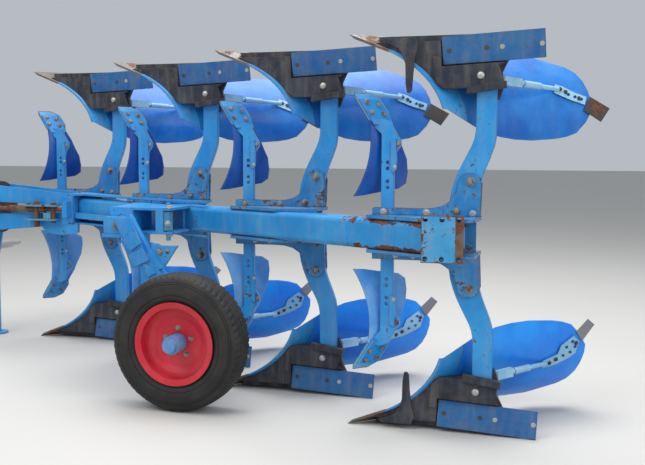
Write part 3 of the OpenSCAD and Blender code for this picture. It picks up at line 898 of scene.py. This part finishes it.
@dataclass
class BodyFasteners(Assembly):
    """The bolts on the eight bodies, their skimmers and their consoles.

    Rows hold: strip x and radius; worn x, drop below the beam's middle and radius; stay x
    and z; land the part of the landside's length and whether the bolt is dark; holder the
    place across and up the skimmer share.
    """

    strip_lower: Rings = ((-647, 9), (-565, 9))
    strip_upper: Rings = ((-704, 13), (-507, 13), (-300, 12))
    strip_drop: float = 99
    worn_lower: tuple[Point, ...] = ((-302, 100, 12), (-311, 240, 15))
    worn_upper: tuple[Point, ...] = ((-372, 108, 13), (-311, 240, 15))
    stay_lower: Rings = ((28, 254), (58, 270), (150, 345))
    stay_upper: Rings = ((44, 230), (70, 243), (132, 272))
    stay_radius: float = 8
    stay_face: float = 8.3
    board_radius: float = 414
    board_centre: float = 413
    board_angle: float = 42
    land: tuple[tuple[float, bool], ...] = (
        (0.06, True), (0.43, True), (0.58, False), (0.96, False)
    )
    land_length: float = 443
    land_height: float = 64
    land_fall: float = 0.05
    land_lean: float = 0.14
    land_slope: float = 0.1405
    land_foot: float = 1.6
    land_radius: float = 11
    frog_bolt: Bolt = Bolt(-275, 0, 196, 17, Head.DOME)
    stem_bolt: Bolt = Bolt(-640, 12.5, 492, 9)
    clamp_bolt: Bolt = Bolt(-654, 4.5, 598, 7)
    holder: Rings = ((46, 50), (105, 62), (58, 100), (122, 108))
    holder_seat: Point = (-832.64, -5.36, 258.6)
    holder_across: Point = (0.7071, 0.7071, 0.0)
    holder_up: Point = (0.2876, -0.2876, 0.9135)
    holder_back: Point = (0.646, -0.646, -0.407)
    holder_radius: float = 9

    def on_stay(self, x: float, z: float) -> tuple[Point, Point]:
        """Finds a place on the back of a stay's curved plate.

        Args:
            x: distance to the rear in millimetres.
            z: height in millimetres.

        Returns:
            The place and the way its face looks.
        """
        turn = math.radians(self.board_angle)
        outer = self.board_radius + self.stay_face
        rise = z - self.board_centre
        depth = self.board_radius - math.sqrt(outer**2 - rise**2)
        along = (x + self.board_centre + math.sin(turn) * depth) / math.cos(turn)
        across = (depth - self.board_radius) / outer
        place = (x, math.sin(turn) * along + math.cos(turn) * depth, z)
        return place, (-math.sin(turn) * across, math.cos(turn) * across, rise / outer)

    def on_holder(self, across: float, up: float) -> Point:
        """Finds a place on the back of a skimmer share, in millimetres."""
        axes = zip(self.holder_seat, self.holder_across, self.holder_up)
        return tuple(seat + a * across + b * up for seat, a, b in axes)

    def build(self) -> None:
        """Builds the fasteners of all pairs."""
        worn = FastenerSet("pivot_bolts", "frame", Finish.NUTS, "rusty_steel")
        ringed = FastenerSet("strip_bolts", "frame", Finish.ZINC, "zinc_steel")
        dark = FastenerSet("landside_bolts", "frame", Finish.DARK, "rusty_steel")
        bright = FastenerSet("frog_dome_bolts", "frame", Finish.ZINC, "zinc_steel")
        mid = self.layout.height / 2 / MM
        for body in range(PAIRS):
            for upper in (False, True):

                def put(group: FastenerSet, bolt: Bolt) -> None:
                    """Adds a lower body's bolt, or its mirror image on the upper one.

                    Args:
                        group: the set that takes the bolt.
                        bolt: the lower body's bolt.
                    """
                    east, south, rise = bolt.facing
                    facing = (east, south, -rise if upper else rise)
                    seat = self.layout.at(bolt.x, bolt.y, bolt.z, body, upper)
                    group.items.append((seat, replace(bolt, facing=facing)))

                strip = worn if upper and body else ringed
                for x, radius in self.strip_upper if upper else self.strip_lower:
                    put(strip, Bolt(x, 0, mid - self.strip_drop, radius))
                for x, drop, radius in self.worn_upper if upper else self.worn_lower:
                    put(worn, Bolt(x, 0, mid - drop, radius, Head.NUT))
                for x, z in self.stay_upper if upper else self.stay_lower:
                    seat, face = self.on_stay(x, z)
                    put(dark, Bolt(*seat, self.stay_radius, facing=face))
                for part, is_dark in self.land:
                    x = -self.land_length * (1 - part)
                    z = self.land_height - self.land_fall * x
                    y = self.land_slope * (z - self.land_foot)
                    lean = (0, -1, self.land_lean)
                    group = dark if is_dark else bright
                    put(group, Bolt(x, y, z, self.land_radius, Head.FLUSH, lean))
                put(bright, self.frog_bolt)
                put(worn, self.stem_bolt)
                put(bright, self.clamp_bolt)
                for across, up in self.holder:
                    seat, back = self.on_holder(across, up), self.holder_back
                    put(worn, Bolt(*seat, self.holder_radius, facing=back))
        for group in (worn, ringed, dark, bright):
            group.build(self.shop)


@dataclass
class ArmFasteners(Assembly):
    """The bolts of the wheel arm, its bracket and its spindle."""

    arm: tuple[Bolt, ...] = (
        Bolt(-2222, 278, 876, 17, Head.NUT),
        Bolt(-1948, 244, 748, 13),
        Bolt(-1906, 244, 752, 9),
    )
    bracket: tuple[Bolt, ...] = (
        Bolt(-1955, 352, 886, 13, Head.NUT),
        Bolt(-1955, 372, 970, 17, facing=UPWARDS),
        Bolt(-1955, 372, 830, 17, facing=DOWNWARDS),
    )

    def build(self) -> None:
        """Builds the bolts on the arm and those on the bracket."""
        arm, bracket = self.layout.seat(self.arm), self.layout.seat(self.bracket)
        FastenerSet("arm_bolts", "wheel_arm", Finish.NUTS, "rusty_steel", arm).build(self.shop)
        FastenerSet("bracket_bolts", "frame", Finish.ZINC, "zinc_steel", bracket).build(self.shop)


# ---- plates


@dataclass
class Plate:
    """A flat plate with round holes, drawn in its own plane in millimetres."""

    name: str
    outline: Rings
    thick: float
    finish: Finish
    holes: tuple[Point, ...] = ()
    sides: int = 28

    def build(self, place: Matrix, shop: Paintshop) -> None:
        """Builds the plate as a part of the frame.

        Args:
            place: moves the plate from its own plane, thick along Z.
            shop: gives the finish.
        """
        loops = [list(self.outline)]
        turn = [-math.tau * k / self.sides for k in range(self.sides)]
        for x, y, r in self.holes:
            loops.append([(x + r * math.cos(a), y + r * math.sin(a)) for a in turn])
        flat = [[Vector((x * MM, y * MM, 0)) for x, y in loop] for loop in loops]
        corners = [point for loop in flat for point in loop]
        mesh = bmesh.new()
        layers = []
        for height in (0.0, self.thick * MM):
            rise = Vector((0, 0, height))
            layers.append([mesh.verts.new(place @ (point + rise)) for point in corners])
        base, top = layers
        for a, b, c in tessellate_polygon(flat):
            mesh.faces.new((base[a], base[b], base[c]))
            mesh.faces.new((top[a], top[c], top[b]))
        first = 0
        for loop in loops:
            for k in range(len(loop)):
                here, there = first + k, first + (k + 1) % len(loop)
                mesh.faces.new((base[here], base[there], top[there], top[here]))
            first += len(loop)
        bmesh.ops.recalc_face_normals(mesh, faces=mesh.faces)
        thing = add_object(self.name, mesh)
        shop.dress(thing, self.finish)
        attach(thing, "frame")
        LOG.info("%s has %d holes", self.name, len(self.holes))


@dataclass
class Knuckle(Assembly):
    """The forked joint behind the turnbuckle."""

    fork: Rings = (
        (-3286, 1004), (-3270, 992), (-3068, 992), (-3054, 1006), (-3054, 1052), (-3286, 1052)
    )
    fork_thick: float = 11
    fork_top: float = 917
    fork_bottom: float = 828
    block: Rings = ((-3150, 1008), (-3096, 1008), (-3096, 1050), (-3150, 1050))
    block_thick: float = 38
    guide: Rings = (
        (-3193, 780), (-3170, 757), (-3125, 740), (-3066, 735), (-2993, 738), (-2935, 752),
        (-2933, 805), (-3008, 805), (-3108, 805), (-3160, 812),
    )
    guide_thick: float = 24
    guide_y: float = 1086
    pins: tuple[Bolt, ...] = (
        Bolt(-3205, 1024, 786, 17, Head.PIN, UPWARDS, 152),
        Bolt(-3205, 1024, 928, 21, Head.NUT, UPWARDS),
        Bolt(-3084, 1024, 812, 14, Head.PIN, UPWARDS, 126),
        Bolt(-3084, 1024, 928, 18, facing=UPWARDS),
        Bolt(-3262, 1024, 928, 13, facing=UPWARDS),
        Bolt(-3135, 992, 923, 9),
    )

    def build(self) -> None:
        """Builds fork, block, guide plate and pins."""
        at = self.layout.at
        for name, outline, thick, z in (
            ("fork_top", self.fork, self.fork_thick, self.fork_top),
            ("fork_bottom", self.fork, self.fork_thick, self.fork_bottom),
            ("fork_block", self.block, self.block_thick, self.fork_bottom + self.fork_thick),
        ):
            plate = Plate(name, outline, thick, Finish.WEATHERED)
            plate.build(Matrix.Translation(at(0, 0, z)), self.shop)
        guide = Plate("guide_plate", self.guide, self.guide_thick, Finish.FRAME)
        guide.build(Matrix.Translation(at(0, self.guide_y, 0)) @ FLAT_TO_UPRIGHT, self.shop)
        pins = self.layout.seat(self.pins)
        FastenerSet("fork_pins", "frame", Finish.RUSTY, "rusty_steel", pins).build(self.shop)


@dataclass
class FlangeCover(Assembly):
    """The painted face on the beam's rusty rear flange, with a ragged edge."""

    outline: Rings = (
        (-87, -99), (44, -99), (57, -91), (58, -20), (54, -8), (58, 4), (57, 97), (24, 98),
        (16, 99), (-86, 99), (-87, 24), (-79, 15), (-80, -6), (-87, -14),
    )
    hole_x: Ring = (-72, 0)
    hole_z: Ring = (-85, 85)
    hole_radius: float = 11
    thick: float = 0.3

    def build(self) -> None:
        """Builds the face with the four of the six holes that it reaches."""
        low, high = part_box("beam_flange")
        middle = (low + high) / 2
        place = Matrix.Translation(Vector((middle.x, low.y, middle.z))) @ FLAT_TO_UPRIGHT
        holes = tuple((x, z, self.hole_radius) for x in self.hole_x for z in self.hole_z)
        Plate("flange_face", self.outline, self.thick, Finish.FLANGE, holes).build(place, self.shop)


# ---- wheel


@dataclass
class Tyre(Assembly):
    """The depth wheel's tyre with its tread."""

    turns: int = 384
    across: int = 56
    groove_depth: float = 7.0
    pitches: int = 64
    tread_reach: float = 0.016
    tread_edge: float = 0.86
    round_lines: Ring = (0.16, 0.52)
    line_half: float = 0.05
    slant: float = 0.9
    shoulder_gap: float = 0.24
    centre_gap: float = 0.13
    centre_depth: float = 0.7

    def outline(self, rim: float, outer: float, width: float) -> list[Ring]:
        """Returns the tyre's section from one bead to the other, in metres.

        Args:
            rim: the rim's radius.
            outer: the tyre's radius.
            width: the tyre's width.

        Returns:
            Radius and sideways place of each ring, evenly spaced.
        """
        side = -width / 2
        stops = [
            (rim - 0.0245, -0.35 * width),
            (rim + 0.002, -0.388 * width),
            (rim + 0.016, side + 0.010),
            (rim + 0.045, side + 0.001),
            (rim + 0.074, side + 0.002),
            (outer - 0.034, side + 0.009),
            (outer - 0.014, side + 0.019),
            (outer - 0.0045, side + 0.034),
            (outer - 0.001, side + 0.062),
            (outer - 0.0005, 0.0),
        ]
        points = stops + [(r, -y) for r, y in reversed(stops[:-1])]
        lengths = [0.0]
        for a, b in zip(points, points[1:]):
            lengths.append(lengths[-1] + math.dist(a, b))
        ring = []
        for k in range(self.across + 1):
            want = lengths[-1] * k / self.across
            i = max(j for j in range(len(lengths) - 1) if lengths[j] <= want + 1e-9)
            t = (want - lengths[i]) / (lengths[i + 1] - lengths[i])
            here, there = points[i], points[i + 1]
            ring.append(tuple(a + t * (b - a) for a, b in zip(here, there)))
        return ring

    def groove(self, turn: float, y: float, half: float) -> float:
        """Returns how deep the tread is cut at a place, from 0 to 1.

        Args:
            turn: the place round the tyre, from 0 to 1.
            y: the sideways place.
            half: half the tyre's width.

        Returns:
            The depth as a part of the grooves' depth.
        """
        offset = abs(y) / half
        if offset > self.tread_edge:
            return 0.0
        if any(abs(offset - line) < self.line_half for line in self.round_lines):
            return 1.0
        shift = 0.5 if y > 0 else 0.0
        phase = (turn * self.pitches + shift + offset * self.slant) % 1.0
        if offset > self.round_lines[1]:
            return 1.0 if phase < self.shoulder_gap else 0.0
        return self.centre_depth if phase < self.centre_gap else 0.0

    def build(self) -> None:
        """Builds the tyre in the CAD tyre's place."""
        low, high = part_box("tyre")
        rim_low, rim_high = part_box("wheel_rim")
        centre = (low + high) / 2
        outer = (high.z - low.z) / 2
        half = (high.y - low.y) / 2
        ring = self.outline((rim_high.z - rim_low.z) / 2, outer, 2 * half)
        mesh = bmesh.new()
        loops = []
        for step in range(self.turns):
            angle = math.tau * step / self.turns
            loop = []
            for radius, y in ring:
                r = radius
                if radius > outer - self.tread_reach:
                    r -= self.groove(step / self.turns, y, half) * self.groove_depth * MM
                spoke = Vector((r * math.cos(angle), y, r * math.sin(angle)))
                loop.append(mesh.verts.new(centre + spoke))
            loops.append(loop)
        for step in range(self.turns):
            here, there = loops[step], loops[(step + 1) % self.turns]
            for k in range(len(ring) - 1):
                mesh.faces.new((here[k], here[k + 1], there[k + 1], there[k]))
            mesh.faces.new((here[-1], here[0], there[0], there[-1]))
        bmesh.ops.recalc_face_normals(mesh, faces=mesh.faces)
        for face in mesh.faces:
            face.smooth = True
        thing = add_object("treaded_tyre", mesh)
        self.shop.dress(thing, Finish.TYRE)
        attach(thing, "wheel")
        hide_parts("tyre")
        LOG.info("treaded_tyre has %d faces", len(thing.data.polygons))


@dataclass
class WheelFasteners(Assembly):
    """The nuts that hold the rim on the hub."""

    studs: int = 5
    first_turn: float = 0.05
    pitch_circle: float = 140
    radius: float = 11
    dish: float = 30.1

    def build(self) -> None:
        """Builds the nuts on the rim's dished face."""
        low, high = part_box("wheel_rim")
        centre = (low + high) / 2
        nuts = FastenerSet("wheel_nuts", "wheel", Finish.NUTS, "rusty_steel")
        reach = self.pitch_circle / 2
        for k in range(self.studs):
            angle = math.tau * (k / self.studs + self.first_turn)
            x, y, z = reach * math.cos(angle), -self.dish, reach * math.sin(angle)
            nut = Bolt(x, y, z, self.radius, Head.NUT)
            nuts.items.append((centre + Vector((x, y, z)) * MM, nut))
        nuts.build(self.shop)


# ---- stage


@dataclass
class Studio:
    """Floor, light and the camera at the photograph's place.

    Each lamp row holds name, place and size in metres, and power in watts.
    """

    layout: Layout
    focal_px: float = 912.1
    width_px: float = 645.0
    sensor: float = 36.0
    clip_end: float = 200.0
    eye: Point = (206.0, -4049.0, 1273.0)
    yaw: float = -16.49
    pitch: float = -5.09
    roll: float = -0.15
    aim: Point = (0.0, 0.0, 0.8)
    lamps: tuple[tuple[str, Point, float, float], ...] = (
        ("key_lamp", (-3.0, -5.5, 6.5), 4.0, 250.0),
        ("fill_lamp", (5.5, -4.0, 3.5), 4.0, 140.0),
        ("top_lamp", (0.5, 0.5, 6.5), 6.0, 540.0),
    )
    sky: RGB = (214, 220, 227)
    sky_strength: float = 0.7
    floor_tones: tuple[RGB, RGB] = ((188, 186, 182), (196, 194, 190))
    floor_noise: Noise = Noise(3.0, 0.5, 0.6)
    floor_roughness: float = 0.9
    floor_half: float = 60.0
    floor_drop: float = 0.001

    def camera(self) -> None:
        """Places the camera from the heel of the rear landside."""
        data = bpy.data.cameras.new("photo_camera")
        data.sensor_width = self.sensor
        data.lens = self.sensor * self.focal_px / self.width_px
        data.clip_end = self.clip_end
        yaw, pitch = math.radians(self.yaw), math.radians(self.pitch)
        level = math.cos(pitch)
        ahead = Vector((math.sin(yaw) * level, math.cos(yaw) * level, math.sin(pitch)))
        side = Vector((math.cos(yaw), -math.sin(yaw), 0.0))
        basis = Matrix((side, side.cross(ahead), -ahead)).transposed()
        thing = add_object("photo_camera", data)
        place = Matrix.Translation(self.layout.at(*self.eye))
        spin = Matrix.Rotation(math.radians(-self.roll), 4, "Z")
        thing.matrix_world = place @ basis.to_4x4() @ spin
        bpy.context.scene.camera = thing

    def floor(self) -> None:
        """Lays the plain pale floor."""
        mesh = bmesh.new()
        bmesh.ops.create_grid(mesh, x_segments=2, y_segments=2, size=self.floor_half)
        thing = add_object("studio_floor", mesh)
        thing.location.z = -self.floor_drop
        material, g, shader = new_material("floor_pale")
        first, second = (srgb(*tone) for tone in self.floor_tones)
        shade = g.mix(g.noise(g.where(), self.floor_noise), first, second)
        g.feed(shader, "Base Color", shade)
        g.feed(shader, "Roughness", self.floor_roughness)
        thing.data.materials.append(material)

    def light(self) -> None:
        """Lights the stage evenly from above and from the camera's side."""
        for name, place, size, power in self.lamps:
            data = bpy.data.lights.new(name, "AREA")
            data.size = size
            data.energy = power
            thing = add_object(name, data)
            thing.location = place
            gaze = Vector(self.aim) - Vector(place)
            thing.rotation_euler = gaze.to_track_quat("-Z", "Y").to_euler()
        world = bpy.data.worlds.new("studio_world")
        bpy.context.scene.world = world
        world.use_nodes = True
        back = next(n for n in world.node_tree.nodes if n.type == "BACKGROUND")
        back.inputs["Color"].default_value = srgb(*self.sky)
        back.inputs["Strength"].default_value = self.sky_strength

    def build(self) -> None:
        """Builds the whole stage."""
        self.camera()
        self.floor()
        self.light()
        bpy.context.scene.view_settings.view_transform = "Standard"


def main() -> None:
    """Dresses the frame and builds the pieces in order."""
    logging.basicConfig(level=logging.INFO, format="%(message)s")
    layout = Layout.from_frame()
    LOG.info("spacing %.4f m, furrow %.4f m", layout.spacing, layout.furrow)
    shop = Paintshop()
    shop.dress_frame()
    for kind in (BodyFasteners, ArmFasteners, Knuckle, FlangeCover, Tyre, WheelFasteners):
        kind(layout, shop).build()
    Studio(layout).build()


if __name__ == "__main__":
    main()
